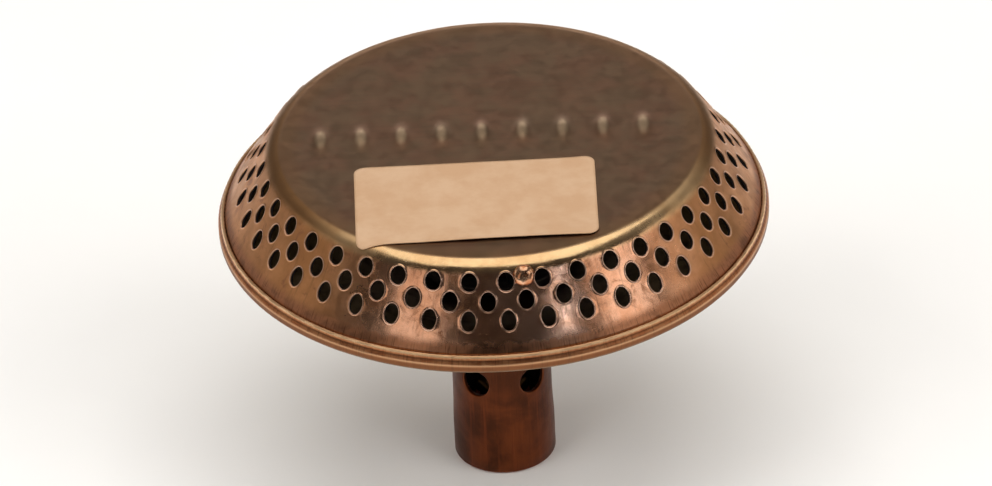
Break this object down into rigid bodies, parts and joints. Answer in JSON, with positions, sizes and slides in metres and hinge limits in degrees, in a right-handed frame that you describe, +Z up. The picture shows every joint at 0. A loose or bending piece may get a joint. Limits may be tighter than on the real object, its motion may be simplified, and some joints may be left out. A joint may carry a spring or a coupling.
{
  "type": "lampwork torch burner head",
  "caption": "Round pressed sheet-metal gas burner head with a flat crown and a ported conical skirt on a short mixing tube with air ports.",
  "frame": {"origin": "centre of the mixing tube's lower end, on the surface that the torch stands on", "axes": "+Z up along the mixing tube's axis towards the crown; -Y is the front, where the label is"},
  "size_m": [0.0856, 0.0858, 0.0583],
  "materials": {
    "plated_steel": "pressed and plated sheet, tarnished brown-grey and copper by heat",
    "copper_tube": "dark heat-browned copper",
    "bright_copper": "bright domed copper",
    "plain_steel": "dull oxidised steel",
    "turned_brass": "turned brass, slightly tarnished",
    "brass_wire": "drawn wire, dull",
    "fibre": "red vulcanised fibre, matt",
    "sintered_bronze": "porous sintered bronze",
    "label_paper": "uncoated self-adhesive paper, slightly yellowed"
  },
  "bodies": {
    "root": {"burner_cap": "plated_steel", "burner_pan": "plated_steel", "mixing_tube": "copper_tube", "tube_seat_ring": "plain_steel", "flashback_gauze": "brass_wire", "gas_baffle": "plain_steel", "baffle_rivet": "bright_copper", "jet_holder": "turned_brass", "gas_jet": "turned_brass", "jet_washer": "fibre", "jet_filter": "sintered_bronze", "paper_label": "label_paper"}
  },
  "joints": []
}
